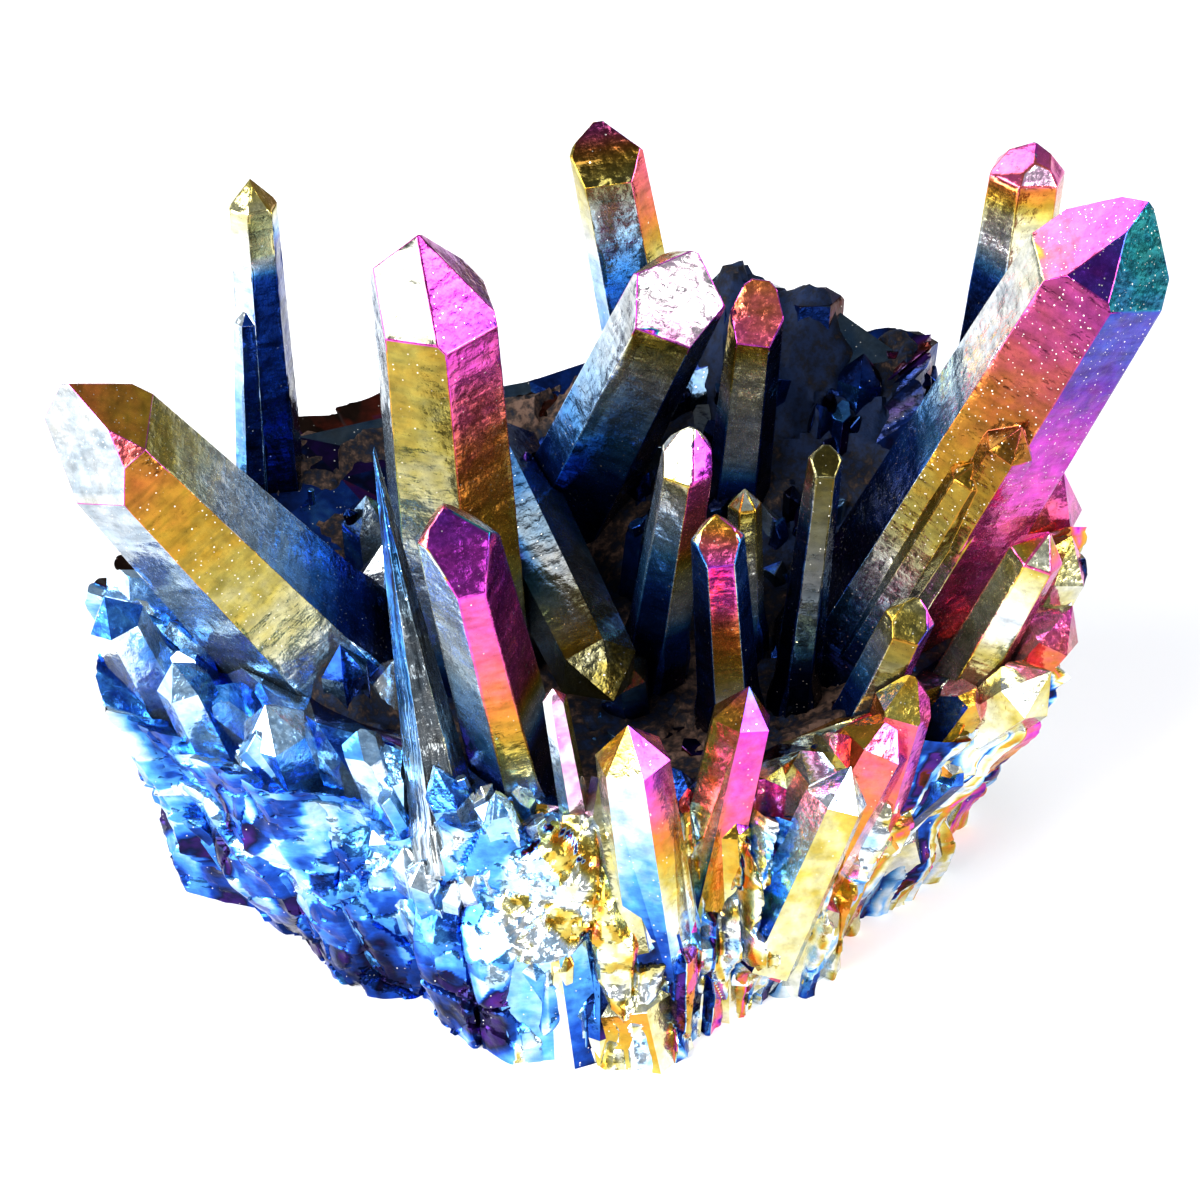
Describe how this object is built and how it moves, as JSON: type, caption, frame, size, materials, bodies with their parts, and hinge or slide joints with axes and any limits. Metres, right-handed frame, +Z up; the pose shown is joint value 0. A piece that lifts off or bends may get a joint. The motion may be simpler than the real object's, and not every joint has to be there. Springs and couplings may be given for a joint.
{
  "type": "coated quartz crystal cluster",
  "caption": "Natural cluster of pointed quartz crystals on a druse-walled block of matrix, with an iridescent metal coat; stands free as a display specimen.",
  "frame": {"origin": "on the flat resting face under the block, below the middle of the dished top", "axes": "+Z up out of the resting face, +X to the right along the cluster's longest extent, -Y to the front corner"},
  "size_m": [0.0824, 0.0565, 0.058],
  "materials": {
    "coated_matrix": "intergrown quartz points under a thin iridescent metal film, sky blue to gold",
    "coated_quartz": "smooth quartz faces under a thin iridescent metal film, gold, pink, violet and blue"
  },
  "bodies": {
    "root": {"matrix": "coated_matrix", "crystal_front_tall": "coated_quartz", "crystal_left_leaning": "coated_quartz", "crystal_back_left": "coated_quartz", "crystal_front_short": "coated_quartz", "crystal_front_needle": "coated_quartz", "crystal_back_centre": "coated_quartz", "crystal_centre_leaning": "coated_quartz", "crystal_centre_slim": "coated_quartz", "crystal_inner_blade": "coated_quartz", "crystal_inner_short": "coated_quartz", "crystal_inner_sliver": "coated_quartz", "crystal_inner_dark": "coated_quartz", "crystal_right_large": "coated_quartz", "crystal_back_right": "coated_quartz", "crystal_right_stub": "coated_quartz", "crystal_right_side": "coated_quartz"}
  },
  "joints": []
}
